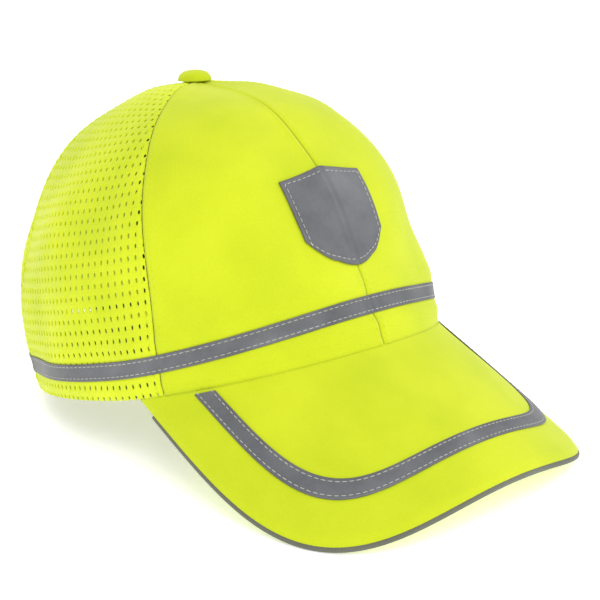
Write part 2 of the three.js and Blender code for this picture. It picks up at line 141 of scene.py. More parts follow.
def rimTable():
    turns = np.linspace(-math.pi, math.pi, 1441)
    x, y = rimPlan(turns)
    x = np.clip(x, -86, 86)

    def over(s):
        bend = brim["bend"] + brim["opening"] * s
        return brimPoint(bend * np.arcsin(np.clip(x / bend, -1, 1)), s)

    height = over(solve(lambda s: y - over(s)[..., 1], -2 * brim["tail"], brim["length"], x.shape))[..., 2]
    fade = 1 - ease(np.abs(turns), 62 * degree, 76 * degree)
    return turns, fade * 0.5 * (height + np.hypot(height, 1))


rimTurns, rimHeights = rimTable()


def rimHeight(theta):
    return np.interp(wrapped(theta), rimTurns, rimHeights)


def crownPoint(theta, t):
    theta, t = alike(theta, t)
    reach = bezier(1, lowReachAt(theta), highReachAt(theta), 0, t)
    low, high = lowRiseAt(theta) * crown["height"], highRiseAt(theta) * crown["height"]
    x, y = rimPlan(theta)
    z = bezier(rimHeight(theta), low, high, crown["height"], t)
    return np.stack([reach * x, mix(crown["apexBack"], y, reach), z], -1)


def fromAxis(p):
    return np.hypot(p[..., 0], p[..., 1] - crown["apexBack"])


def normalAt(surface, theta, t):
    step = 1e-3
    across = surface(theta + step, t) - surface(theta - step, t)
    up = surface(theta, np.minimum(t + step, 1)) - surface(theta, t - step)
    n = np.cross(across, up)
    size = np.linalg.norm(n, axis=-1, keepdims=True)
    top = np.array([0, -math.sin(crown["topLean"]), math.cos(crown["topLean"])])
    return np.where(size > 1e-9, n / np.maximum(size, 1e-12), top)


def above(surface, theta, t, lift):
    theta, t, lift = alike(theta, t, lift)
    return surface(theta, t) + normalAt(surface, theta, t) * lift[..., None]


def levelAt(surface, theta, height):
    theta, height = alike(theta, height)
    return solve(lambda t: surface(theta, t)[..., 2] - height, 0, 0.97, theta.shape)


def levelAtRadius(surface, theta, radius):
    theta = np.asarray(theta, float)
    return solve(lambda t: radius - fromAxis(surface(theta, t)), 0.5, 1, theta.shape)


def footHeight(theta):
    behind = (math.pi - np.abs(wrapped(theta))) / crown["archHalfAngle"]
    arch = crown["archHeight"] * np.sqrt(np.clip(1 - behind * behind, 0, 1))
    return np.where(behind >= 1, rimHeight(theta), arch)


tape = {"width": 7.3, "side": 8.0, "front": 19.0, "pinch": 0.45, "bulgeBelow": 1.1, "bulgeAbove": 0.6,
        "thick": 0.42, "stitchInset": 1.25}
tapeShares = np.array([0, 0.03, 0.1, 0.17, 0.3, 0.5, 0.7, 0.83, 0.9, 0.97, 1.0])  # lines of points across it


def tapeFoot(theta):
    return tape["side"] + (tape["front"] - tape["side"]) * np.maximum(np.cos(theta), 0) ** 2


# How the sewn cloth leaves its even shape: sunk at the seams, pinched under the tape, and softly
# waved. The waves are a few fixed plane waves, so every piece that lies on the cloth follows them.
seamFold = {"sink": 0.4, "sinkWidth": 0.7, "ridge": 0.3, "ridgeAt": 2.1, "ridgeWidth": 1.3, "stitchAt": 2.3}
folds = {"seed": 11, "count": 9, "shortest": 34.0, "longest": 80.0, "height": 0.27, "meshShare": 1.3}
# A soft dent above the tape, at the wearer's left.
dent = {"angle": 47 * degree, "wide": 20 * degree, "height": 48.0, "tall": 15.0, "depth": 2.4}


def foldWaves():
    rng = np.random.RandomState(folds["seed"])
    waves = []
    for _ in range(folds["count"]):
        direction = rng.normal(size=3)
        length = rng.uniform(folds["shortest"], folds["longest"])
        waves.append((direction / np.linalg.norm(direction) * 2 * math.pi / length, rng.uniform(0, 6.28)))
    return waves


waves = foldWaves()
seamAngles = [0, crown["sideSeam"], -crown["sideSeam"], crown["rearSeam"], -crown["rearSeam"], math.pi]


def relief(theta, t):
    theta, t = alike(theta, t)
    p = crownPoint(theta, t)
    radius = fromAxis(p)
    total = np.zeros(theta.shape)
    for seam in seamAngles:
        d = np.abs(wrapped(theta - seam)) * radius
        total -= seamFold["sink"] * hump(d, 0, seamFold["sinkWidth"])
        total += seamFold["ridge"] * hump(d, seamFold["ridgeAt"], seamFold["ridgeWidth"])
    h = p[..., 2] - tapeFoot(theta)
    front = np.maximum(np.cos(theta), 0)
    clear = ease(p[..., 2] - rimHeight(theta), 0.5, 5)
    total += (0.4 + 0.6 * front) * tape["bulgeBelow"] * hump(h, -4.6, 3.2) * clear
    total += tape["bulgeAbove"] * (0.5 + 0.5 * front) * hump(h, tape["width"] + 5, 4)
    total -= tape["pinch"] * hump(h, tape["width"] / 2, 3.4)
    beside = hump(wrapped(theta - dent["angle"]), 0, dent["wide"])
    total -= dent["depth"] * beside * hump(p[..., 2], dent["height"], dent["tall"])
    soft = sum(np.sin(p @ k + phase) for k, phase in waves) * folds["height"]
    looser = mix(1, folds["meshShare"], ease(np.abs(wrapped(theta)), 60 * degree, 66 * degree))
    calm = ease(t, 0, 0.08) * (1 - ease(t, 0.86, 0.97))  # the cloth is held at the rim and the button
    return total + soft * looser * calm


def outside(theta, t, lift=0.0):
    return above(crownPoint, theta, t, relief(theta, t) + lift)


def newObject(name, data):
    obj = bpy.data.objects.new(name, data)
    bpy.context.scene.collection.objects.link(obj)
    return obj


def weldMesh(mesh, others=()):
    # Joins the others to the mesh and closes its poles and seams.
    bm = bmesh.new()
    for part in (mesh, *others):
        bm.from_mesh(part)
    bmesh.ops.remove_doubles(bm, verts=bm.verts, dist=weldGap)
    bmesh.ops.dissolve_degenerate(bm, edges=bm.edges, dist=1e-6)
    bm.to_mesh(mesh)
    bm.free()


def gridMesh(name, points, uv, flip=False, ring=False, weld=False):
    # A ring's last column repeats its first, and only its pattern coordinates are kept.
    nu, nv = points.shape[:2]
    index = np.arange(nu * nv).reshape(nu, nv)
    a, b, c, d = index[:-1, :-1], index[1:, :-1], index[1:, 1:], index[:-1, 1:]
    quads = np.stack([a, b, c, d], -1).reshape(-1, 4)
    if flip:
        quads = quads[:, ::-1]
    count = (nu - 1) * nv if ring else nu * nv
    mesh = bpy.data.meshes.new(name)
    place = toRow(points).reshape(-1, 3)[:count]
    mesh.from_pydata(place.tolist(), [], (quads % count).tolist())
    layer = mesh.uv_layers.new(name="cloth")
    layer.data.foreach_set("uv", (uv.reshape(-1, 2)[quads.ravel()] / 1000).astype(np.float32).ravel())
    if weld:
        weldMesh(mesh)
    mesh.update()
    return mesh


def place(mesh, material, body, slot=None, nodes=(), thick=0.0):
    obj = newObject(mesh.name, mesh)
    for polygon in mesh.polygons:
        polygon.use_smooth = True
    mesh.materials.clear()
    mesh.materials.append(material)
    if thick:
        wall = obj.modifiers.new("wall", "SOLIDIFY")
        wall.thickness, wall.offset = thick / 1000, -1
    if body:
        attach(obj, body)
    if nodes:
        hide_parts(*nodes)
    return obj


def alongRows(points):
    # Pattern coordinates of a grid: the length walked along each direction at its middle.
    nu, nv = points.shape[:2]
    u = np.concatenate([[0], np.cumsum(np.linalg.norm(np.diff(points[:, nv // 2], axis=0), axis=-1))])
    v = np.concatenate([[0], np.cumsum(np.linalg.norm(np.diff(points[nu // 2], axis=0), axis=-1))])
    return np.stack(np.broadcast_arrays(u[:, None] - u.mean(), v[None, :]), -1)


def linear(hexValue):
    parts = [int(hexValue[i:i + 2], 16) / 255 for i in (0, 2, 4)]
    return [x / 12.92 if x <= 0.04045 else ((x + 0.055) / 1.055) ** 2.4 for x in parts] + [1.0]


def addNode(tree, kind, settings=None, links=None, stops=()):
    node = tree.nodes.new(kind)
    for i, (at, colour) in enumerate(stops):
        elements = node.color_ramp.elements
        stop = elements[i] if i < len(elements) else elements.new(at)
        stop.position, stop.color = at, linear(colour)
    for key, value in (settings or {}).items():
        if isinstance(key, int) or key in node.inputs:
            node.inputs[key].default_value = value
        else:
            setattr(node, key, value)
    for key, source in (links or {}).items():
        tree.links.new(source, node.inputs[key])
    return node


def newMaterial(name, base, roughness, **sockets):
    material = bpy.data.materials.new(name)
    material.use_nodes = True
    tree = material.node_tree
    tree.nodes.clear()
    shader = addNode(tree, "ShaderNodeBsdfPrincipled", {"Base Color": linear(base), "Roughness": roughness})
    for key, value in sockets.items():
        shader.inputs[key.replace("_", " ")].default_value = value
    out = addNode(tree, "ShaderNodeOutputMaterial")
    tree.links.new(shader.outputs[0], out.inputs[0])
    return material, tree, shader


def finish(tree, shader, tint, height, strength, distance):
    tree.links.new(tint, shader.inputs["Base Color"])
    rise = addNode(tree, "ShaderNodeBump", {"Strength": strength, "Distance": distance}, {"Height": height})
    tree.links.new(rise.outputs[0], shader.inputs["Normal"])


def bandScale(pitch):
    return 1000 / pitch * math.pi / 20  # a wave texture at scale 1 has its bands a tenth of pi apart


# Woven polyester: plain weave, threads about 0.3 mm apart drawn at 0.55 mm so that they show, matt
# with a soft sheen. The extra light a fluorescent dye gives back is painted in as a glow of the cloth's own colour
# (glow).
def wovenPolyester(name, base, shade, bright, glow, pitch=0.55, bump=0.16):
    material, tree, shader = newMaterial(name, base, 0.82, Sheen_Weight=0.12, Sheen_Roughness=0.5,
                                         Specular_IOR_Level=0.25, Emission_Strength=glow,
                                         Emission_Color=linear(base))
    uv = addNode(tree, "ShaderNodeUVMap", {"uv_map": "cloth"}).outputs[0]
    warp, weft = (addNode(tree, "ShaderNodeTexWave", {"bands_direction": axis, "Scale": bandScale(pitch),
                          "Distortion": 0.6, "Detail": 1.0}, {0: uv}).outputs["Fac"] for axis in "XY")
    weave = addNode(tree, "ShaderNodeMath", {"operation": "ADD"}, {0: warp, 1: weft})
    where = addNode(tree, "ShaderNodeTexCoord").outputs["Object"]
    cloudy = addNode(tree, "ShaderNodeTexNoise", {"Scale": 26.0, "Detail": 3.0, "Roughness": 0.5}, {"Vector": where})
    tint = addNode(tree, "ShaderNodeValToRGB", None, {0: cloudy.outputs["Fac"]}, [(0.3, shade), (0.7, bright)])
    slub = addNode(tree, "ShaderNodeTexNoise", {"Scale": 1500.0, "Detail": 2.0}, {"Vector": uv})
    colour = addNode(tree, "ShaderNodeMix", {"data_type": "RGBA", "blend_type": "MULTIPLY", "Factor": 0.12})
    tree.links.new(tint.outputs[0], colour.inputs[6])
    tree.links.new(slub.outputs["Color"], colour.inputs[7])
    finish(tree, shader, colour.outputs[2], weave.outputs[0], bump, 0.0002)
    return material


# Warp knit athletic mesh: fine vertical wales 0.875 mm and courses 0.7 mm apart, softer than the woven cloth;
# its extra brightness, from light that also passes through it, is painted in as a glow of its own colour.
def warpKnit(name, base, shade, bright, glow):
    material, tree, shader = newMaterial(name, base, 0.78, Sheen_Weight=0.2, Sheen_Roughness=0.45,
                                         Specular_IOR_Level=0.25, Emission_Strength=glow,
                                         Emission_Color=linear(base))
    uv = addNode(tree, "ShaderNodeUVMap", {"uv_map": "cloth"}).outputs[0]
    wales = addNode(tree, "ShaderNodeTexWave", {"bands_direction": "X", "Scale": bandScale(0.875),
                    "Distortion": 1.2, "Detail": 1.0, "Detail Scale": 2.0}, {0: uv})
    courses = addNode(tree, "ShaderNodeTexWave", {"bands_direction": "Y", "Scale": bandScale(0.7),
                      "Distortion": 1.5, "Detail": 1.0}, {0: uv})
    knit = addNode(tree, "ShaderNodeMath", {"operation": "MULTIPLY_ADD", 1: 0.5},
                   {0: courses.outputs["Fac"], 2: wales.outputs["Fac"]})
    where = addNode(tree, "ShaderNodeTexCoord").outputs["Object"]
    cloudy = addNode(tree, "ShaderNodeTexNoise", {"Scale": 30.0, "Detail": 3.0}, {"Vector": where})
    tint = addNode(tree, "ShaderNodeValToRGB", None, {0: cloudy.outputs["Fac"]}, [(0.3, shade), (0.7, bright)])
    finish(tree, shader, tint.outputs[0], knit.outputs[0], 0.3, 0.0003)
    return material


# Glass bead retroreflective tape: aluminised beads under a clear binder, grey in plain light with a
# fine grain and a soft gleam; handling leaves faint paler rubs.
def beadTape(name, base, dark, pale):
    material, tree, shader = newMaterial(name, base, 0.5, Metallic=0.35, Specular_IOR_Level=0.5,
                                         Coat_Weight=0.08, Coat_Roughness=0.4)
    where = addNode(tree, "ShaderNodeTexCoord").outputs["Object"]
    grain = addNode(tree, "ShaderNodeTexNoise", {"Scale": 2600.0, "Detail": 2.0}, {"Vector": where})
    rubs = addNode(tree, "ShaderNodeTexNoise", {"Scale": 60.0, "Detail": 4.0, "Roughness": 0.6}, {"Vector": where})
    both = addNode(tree, "ShaderNodeMath", {"operation": "MULTIPLY_ADD", 1: 0.35},
                   {0: grain.outputs["Fac"], 2: rubs.outputs["Fac"]})
    tint = addNode(tree, "ShaderNodeValToRGB", None, {0: both.outputs[0]}, [(0.5, dark), (0.9, pale)])
    finish(tree, shader, tint.outputs[0], grain.outputs["Fac"], 0.12, 0.0001)
    return material


# Moulded plastic, foam, rubber, metal, loop and hook: one grain of bumps over a slightly mottled base.
def grained(name, base, shade, roughness, scale, strength, distance, **sockets):
    material, tree, shader = newMaterial(name, base, roughness, **sockets)
    where = addNode(tree, "ShaderNodeTexCoord").outputs["Object"]
    grain = addNode(tree, "ShaderNodeTexNoise", {"Scale": scale, "Detail": 3.0}, {"Vector": where})
    broad = addNode(tree, "ShaderNodeTexNoise", {"Scale": 45.0, "Detail": 3.0}, {"Vector": where})
    tint = addNode(tree, "ShaderNodeValToRGB", None, {0: broad.outputs["Fac"]}, [(0.3, shade), (0.7, base)])
    finish(tree, shader, tint.outputs[0], grain.outputs["Fac"], strength, distance)
    return material


# Front panels and brim: the flat matt lime of a fluorescent shell cloth, with a small painted glow for its
# fluorescence.
limeWoven = wovenPolyester("wovenPolyesterLime", "C9D81A", "BFD016", "D2DE20", 0.08)
# Crown mesh in the same dye, a little yellower and softer, with a painted glow for the light that passes through it.
limeKnit = warpKnit("warpKnitLime", "CEDC1C", "C2D218", "D6E222", 0.1)
# Wicking band cloth: coarse, dark and without gloss, so the holes in front of it look dark.
bandCloth = wovenPolyester("wickingBandCloth", "43463C", "3C3F36", "4B4E43", 0.0, 0.9, 0.3)
# Sewn-on reflective tape and badge.
greyTape = beadTape("glassBeadTape", "68696C", "5E5F63", "737478")
# Bias cut woven cloth over a cord: a dull grey line round the brim.
greyPiping = wovenPolyester("wovenPipingGrey", "6E7064", "64665B", "787A6E", 0.0, 0.5, 0.3)
# Spun polyester thread: slightly hairy, with a soft sheen, pale on the tapes and lime on the seams. The lime thread
# carries a painted glow that lifts the shade on its small beads.
paleThread = grained("polyesterThreadPale", "BDBFB6", "ACAEA6", 0.6, 3000.0, 0.2, 0.0001, Sheen_Weight=0.3)
limeThreadGlow = grained("polyesterThreadLime", "CEDD20", "C3D21C", 0.6, 3000.0, 0.2, 0.0001, Emission_Strength=0.1,
                     Emission_Color=linear("CEDD20"))
# Injection moulded ABS with a satin mould finish; the lime light that comes through the cloth is painted on it as a
# lime glow.
paleAbsLimeGlow = grained("mouldedAbsPale", "E3E8A6", "DCE29C", 0.42, 900.0, 0.05, 0.0001, IOR=1.53, Emission_Strength=0.2,
                 Emission_Color=linear("D6DF30"))
# Polyethylene sheet, die cut: waxy white with a faint mottle.
brimPlastic = grained("polyethyleneBoard", "E9E9E2", "E0E0D8", 0.5, 700.0, 0.05, 0.0001)
# Closed cell foam, skived: fine open grain and no gloss.
darkFoam = grained("closedCellFoam", "3B3E41", "323538", 0.9, 1400.0, 0.5, 0.0002)
# Moulded rubber edge trim: nearly black and dull.
edgeRubber = grained("mouldedRubber", "1C1D1F", "161718", 0.65, 1200.0, 0.1, 0.0001)
# Brushed nylon loop: deep soft pile. Its partner is the hook tape, stiffer and a little shinier.
loopPile = grained("brushedLoopPile", "B9C63A", "AAB731", 0.95, 2600.0, 0.9, 0.0005, Sheen_Weight=0.5)
hookTape = grained("nylonHookTape", "C4CF45", "B4BF3C", 0.5, 2200.0, 0.7, 0.0004)
# Zinc plated steel, pressed: grey, with a broad soft gleam.
brushedMetal = grained("zincPlatedSteel", "B9B9B4", "A9A9A5", 0.35, 1500.0, 0.08, 0.0001, Metallic=1.0)
# Woven satin label: white, fine and smooth.
labelSatin = wovenPolyester("satinLabel", "F1F1EC", "ECECE6", "F6F6F2", 0.0, 0.4, 0.1)
print("materials made")

stitch = {"length": 2.2, "gap": 0.45, "width": 0.38, "height": 0.32}


def stitchTree():
    tree = bpy.data.node_groups.new("stitchRow", "GeometryNodeTree")
    tree.interface.new_socket("Rows", in_out="INPUT", socket_type="NodeSocketGeometry")
    for name, kind in (("Pitch", "NodeSocketFloat"), ("Size", "NodeSocketVector"), ("Thread", "NodeSocketMaterial")):
        tree.interface.new_socket(name, in_out="INPUT", socket_type=kind)
    tree.interface.new_socket("Stitches", in_out="OUTPUT", socket_type="NodeSocketGeometry")
    start, end = tree.nodes.new("NodeGroupInput"), tree.nodes.new("NodeGroupOutput")
    curve = addNode(tree, "GeometryNodeMeshToCurve", None, {0: start.outputs["Rows"]})
    paced = addNode(tree, "GeometryNodeResampleCurve", {"mode": "LENGTH"},
                    {"Curve": curve.outputs[0], "Length": start.outputs["Pitch"]})
    out = addNode(tree, "GeometryNodeInputNamedAttribute", {"data_type": "FLOAT_VECTOR", "Name": "outward"})
    tangent = addNode(tree, "GeometryNodeInputTangent")
    along = addNode(tree, "FunctionNodeAlignRotationToVector", {"axis": "X"}, {"Vector": tangent.outputs[0]})
    turned = addNode(tree, "FunctionNodeAlignRotationToVector", {"axis": "Z", "pivot_axis": "X"},
                     {"Rotation": along.outputs[0], "Vector": out.outputs["Attribute"]})
    bead = addNode(tree, "GeometryNodeMeshUVSphere", {"Segments": 8, "Rings": 5, "Radius": 0.5})
    placed = addNode(tree, "GeometryNodeInstanceOnPoints", None,
                     {"Points": paced.outputs[0], "Instance": bead.outputs[0], "Rotation": turned.outputs[0],
                      "Scale": start.outputs["Size"]})
    real = addNode(tree, "GeometryNodeRealizeInstances", None, {0: placed.outputs[0]})
    done = addNode(tree, "GeometryNodeSetMaterial", None, {0: real.outputs[0], "Material": start.outputs["Thread"]})
    tree.links.new(done.outputs[0], end.inputs[0])
    return tree


stitchRow = stitchTree()


def runNodes(name, mesh, tree, values):
    # The tree's result on a mesh, as a plain mesh.
    carrier = newObject(name, mesh)
    modifier = carrier.modifiers.new("nodes", "NODES")
    modifier.node_group = tree
    sockets = {item.name: item.identifier for item in tree.interface.items_tree if item.in_out == "INPUT"}
    for key, value in values.items():
        modifier[sockets[key]] = value
    graph = bpy.context.evaluated_depsgraph_get()
    made = bpy.data.meshes.new_from_object(carrier.evaluated_get(graph))
    carrier.modifiers.clear()
    bpy.data.objects.remove(carrier)
    made.name = name
    return made


def stitches(name, rows, thread, body, size=stitch):
    # rows are (points, outward) pairs, each a line of stitches on its cloth.
    points, outward, edges = [], [], []
    for line, out in rows:
        first = len(points)
        points += toRow(line).tolist()
        ahead = toRow(line + out) - toRow(line)
        outward += (ahead / np.maximum(np.linalg.norm(ahead, axis=-1, keepdims=True), 1e-9)).tolist()
        edges += [(first + i, first + i + 1) for i in range(len(line) - 1)]
    mesh = bpy.data.meshes.new(name + "_line")
    mesh.from_pydata(points, edges, [])
    layer = mesh.attributes.new("outward", "FLOAT_VECTOR", "POINT")
    layer.data.foreach_set("vector", np.array(outward, np.float32).ravel())
    long, wide, high = size["length"] / 1000, size["width"] / 1000, size["height"] / 1000
    made = runNodes(name, mesh, stitchRow, {"Pitch": (size["length"] + size["gap"]) / 1000,
                                            "Size": (long, wide, high), "Thread": thread})
    return place(made, thread, body)


def crownRow(theta, t, lift):
    theta, t = alike(theta, t)
    return outside(theta, t, lift), normalAt(crownPoint, theta, t)


panel = {"thick": 0.8, "eyelet": 2.5, "edge": 0.12}


def goreGrid(start, stop, columns, rows):
    theta = np.linspace(start, stop, columns)[:, None] * np.ones((1, rows))
    top = levelAtRadius(crownPoint, theta[:, 0], panel["eyelet"])[:, None]
    foot = footHeight(theta[:, 0])
    low = np.where(foot > rimHeight(theta[:, 0]) + 1e-6, levelAt(crownPoint, theta[:, 0], foot), 0)[:, None]
    t = mix(low, top, np.linspace(0, 1, rows)[None, :])
    radius = fromAxis(crownPoint(theta, t))
    middle = (start + stop) / 2
    share = (theta - middle) / ((stop - start) / 2)
    return theta - share * panel["edge"] / radius, t


def frontPanels():
    for word, side in (("left", 1), ("right", -1)):
        start, stop = (0, crown["sideSeam"]) if side > 0 else (-crown["sideSeam"], 0)
        theta, t = goreGrid(start, stop, 84, 128)
        points = outside(theta, t)
        obj = place(gridMesh(f"frontPanel_{word}", points, alongRows(points)), limeWoven, "cap", "solid_cloth",
                    [f"front_panel_{word}"], panel["thick"])


frontPanels()
print("front panels made")

knit = {"across": 3.5, "down": 4.6, "holeWidth": 0.72, "holeLength": 1.85, "slant": 0.1, "lip": 0.55, "dip": 0.28,
        "thick": 0.7}


def knitCell():
    # One repeat of the mesh: twelve points round its edge, round a lip and round the hole.
    halfA, halfD = knit["across"] / 2, knit["down"] / 2
    edge = [(-1, -1), (-1 / 3, -1), (1 / 3, -1), (1, -1), (1, -1 / 3), (1, 1 / 3), (1, 1), (1 / 3, 1), (-1 / 3, 1),
            (-1, 1), (-1, 1 / 3), (-1, -1 / 3)]
    points = [(x * halfA, y * halfD, 0) for x, y in edge]
    for room, dip in ((knit["lip"], 0.0), (0, knit["dip"])):
        for x, y in edge:
            turn = math.atan2(y, x)
            px = (knit["holeWidth"] / 2 + room) * math.cos(turn)
            py = (knit["holeLength"] / 2 + room) * math.sin(turn)
            points.append((px + knit["slant"] * py, py, -dip))
    faces = [(k * 12 + i, k * 12 + (i + 1) % 12, k * 12 + 12 + (i + 1) % 12, k * 12 + 12 + i)
             for k in range(2) for i in range(12)]
    cell = bpy.data.meshes.new("knitCell")
    cell.from_pydata(points, [], faces)
    return bpy.data.objects.new("knitCell", cell)


def knitTree():
    tree = bpy.data.node_groups.new("knitMesh", "GeometryNodeTree")
    tree.interface.new_socket("Base", in_out="INPUT", socket_type="NodeSocketGeometry")
    for name, kind in (("Cell", "NodeSocketObject"), ("Columns", "NodeSocketInt"), ("Rows", "NodeSocketInt"),
                       ("Across", "NodeSocketFloat"), ("Down", "NodeSocketFloat"), ("Cloth", "NodeSocketMaterial")):
        tree.interface.new_socket(name, in_out="INPUT", socket_type=kind)
    tree.interface.new_socket("Mesh", in_out="OUTPUT", socket_type="NodeSocketGeometry")
    start, end = tree.nodes.new("NodeGroupInput"), tree.nodes.new("NodeGroupOutput")
    grid = addNode(tree, "GeometryNodeMeshGrid")
    for axis, count, pitch in (("X", "Columns", "Across"), ("Y", "Rows", "Down")):
        size = addNode(tree, "ShaderNodeMath", {"operation": "MULTIPLY"},
                       {0: start.outputs[count], 1: start.outputs[pitch]})
        lines = addNode(tree, "ShaderNodeMath", {"operation": "ADD", 1: 1.0}, {0: start.outputs[count]})
        tree.links.new(size.outputs[0], grid.inputs["Size " + axis])
        tree.links.new(lines.outputs[0], grid.inputs["Vertices " + axis])
    centres = addNode(tree, "GeometryNodeMeshToPoints", {"mode": "FACES"}, {0: grid.outputs[0]})
    cell = addNode(tree, "GeometryNodeObjectInfo", None, {"Object": start.outputs["Cell"]})
    placed = addNode(tree, "GeometryNodeInstanceOnPoints", None,
                     {"Points": centres.outputs[0], "Instance": cell.outputs["Geometry"]})
    real = addNode(tree, "GeometryNodeRealizeInstances", None, {0: placed.outputs[0]})
    joined = addNode(tree, "GeometryNodeMergeByDistance", {"Distance": 0.02}, {0: real.outputs[0]})
    done = addNode(tree, "GeometryNodeSetMaterial", None, {0: joined.outputs[0], "Material": start.outputs["Cloth"]})
    tree.links.new(done.outputs[0], end.inputs[0])
    return tree


knitMesh = knitTree()
knitCellObject = knitCell()


def goreFlat(start, stop):
    # Tables that turn flat places on a gore, millimetres across from its middle and up from its foot,
    # into angles and levels.
    angles = np.linspace(start - 16 * degree, stop + 16 * degree, 93)
    levels = np.linspace(0, 0.995, 160)
    p = crownPoint(angles[:, None], levels[None, :])
    across = np.zeros(p.shape[:2])
    across[1:] = np.cumsum(np.linalg.norm(np.diff(p, axis=0), axis=-1), axis=0)
    middle = len(angles) // 2
    across -= across[middle][None, :]
    up = np.concatenate([[0], np.cumsum(np.linalg.norm(np.diff(p[middle], axis=0), axis=-1))])
    return angles, levels, across, up


def meshPanel(start, stop):
    # The flat perforated cloth of one gore, cut to its outline, as faces, angles, levels and dips.
    angles, levels, across, up = goreFlat(start, stop)
    inside = (angles >= start) & (angles <= stop)
    columns = 2 * math.ceil((across[inside].max() - across[inside].min()) / 2 / knit["across"]) + 2
    rows = math.ceil(up[-1] / knit["down"]) + 1
    blank = bpy.data.meshes.new("knit_base")
    flat = runNodes("knitFlat", blank, knitMesh, {"Cell": knitCellObject, "Columns": columns, "Rows": rows,
                    "Across": knit["across"], "Down": knit["down"], "Cloth": limeKnit})
    bm = bmesh.new()
    bm.from_mesh(flat)
    dip = bm.verts.layers.float.new("dip")
    for v in bm.verts:
        v[dip] = v.co.z
        v.co.y += rows * knit["down"] / 2 - 0.35 * knit["down"]

    def toCrown(x, y):
        at = np.interp(y, up, np.arange(len(up)))
        low = np.clip(at.astype(int), 0, len(up) - 2)
        share = at - low
        theta = np.empty(len(x))
        for i in range(len(x)):
            row = mix(across[:, low[i]], across[:, low[i] + 1], share[i])
            theta[i] = np.interp(x[i], row, angles)
        return theta, mix(levels[low], levels[low + 1], share)

    def spots():
        x, y = (np.array([v.co[axis] for v in bm.verts]) for axis in (0, 1))
        return x, y, *toCrown(x, y)

    def cut(field):
        x, y, theta, t = spots()
        for v, f in zip(bm.verts, field(x, y, theta, t)):
            v.co.z = f
        bmesh.ops.bisect_plane(bm, geom=bm.verts[:] + bm.edges[:] + bm.faces[:], dist=1e-5,
                               plane_co=(0, 0, 0), plane_no=(0, 0, 1), clear_inner=True)

    def edgeRoom(x, y, theta, t):
        # How far inside the gore's two seams a place is.
        at = np.interp(y, up, np.arange(len(up)))
        right, left = (np.interp(at, np.arange(len(up)), [np.interp(angle, angles, row) for row in across.T])
                       for angle in (stop, start))
        return np.minimum(right - x, x - left) - panel["edge"]

    def endRoom(x, y, theta, t):
        return np.minimum(y, fromAxis(crownPoint(theta, t)) - panel["eyelet"])

    def archRoom(x, y, theta, t):
        return crownPoint(theta, t)[..., 2] - footHeight(theta) - 0.001 * (footHeight(theta) < 0.01)

    cut(edgeRoom)
    cut(endRoom)
    if stop > math.pi - 1e-6:
        cut(archRoom)
    bm.verts.index_update()
    x, y, theta, t = spots()
    dips = np.array([v[dip] for v in bm.verts])
    faces = [[v.index for v in f.verts] for f in bm.faces]
    bm.free()
    return faces, theta, t, dips, np.stack([x, y], -1)


def meshPanels():
    for kind, start, stop, size, area in (("side", crown["sideSeam"], crown["rearSeam"], (0.103, 0.172), 0.0125),
                                          ("rear", crown["rearSeam"], math.pi, (0.1, 0.166), 0.0094)):
        faces, theta, t, dips, flat = meshPanel(start, stop)
        for word, side in (("left", 1), ("right", -1)):
            points = outside(side * theta, t, dips)
            made = bpy.data.meshes.new(f"{kind}Panel_{word}")
            loops = faces if side > 0 else [f[::-1] for f in faces]
            made.from_pydata(toRow(points).tolist(), [], loops)
            layer = made.uv_layers.new(name="cloth")
            order = np.array([i for f in loops for i in f])
            layer.data.foreach_set("uv", (flat[order] / 1000).astype(np.float32).ravel())
            made.update()
            obj = place(made, limeKnit, "cap", "mesh_cloth", [f"{kind}_panel_{word}"], knit["thick"])


meshPanels()
print("mesh panels made")


def tapeLift(share, top):
    # The tape's upper face: turned down at its edges and drawn in under its stitches.
    edge = np.minimum(share, 1 - share) * tape["width"]
    return top - 0.25 * hump(edge, 0, 0.35) - 0.14 * hump(edge, tape["stitchInset"], 0.4)


def crownTape():
    end = math.pi - crown["archHalfAngle"] - 1 * degree
    theta = np.linspace(-end, end, 460)[:, None]
    theta, share = alike(theta, tapeShares[None, :])
    t = levelAt(crownPoint, theta, tapeFoot(theta) + share * tape["width"])
    points = outside(theta, t, tapeLift(share, 0.75))
    place(gridMesh("crownTape", points, alongRows(points)), greyTape, "cap", "reflective_tape", ["crown_tape"],
          tape["thick"])
    line = np.linspace(-end, end, 700)
    stitches("crownTapeStitches", [crownRow(line, levelAt(crownPoint, line, tapeFoot(line) + height), 0.7) for height in
                                   (tape["stitchInset"], tape["width"] - tape["stitchInset"])], paleThread, "cap")


crownTape()
print("crown tape made")

badge = {"width": 48.5, "height": 42.0, "bottom": 38.9, "inset": 2.3}


def shieldEdges(across):
    off = np.abs(across)
    foot = np.where(off < 0.5, 0.3 * off * off, 0.075 + 0.7 * np.abs(off - 0.5) ** 1.6)
    return foot, 1 - 0.1 * off


def badgePlace(across, share):
    foot, top = shieldEdges(across)
    t = levelAt(crownPoint, np.zeros(np.shape(across)), badge["bottom"] + mix(foot, top, share) * badge["height"])
    return across * badge["width"] / 2 / fromAxis(crownPoint(0, t)), t


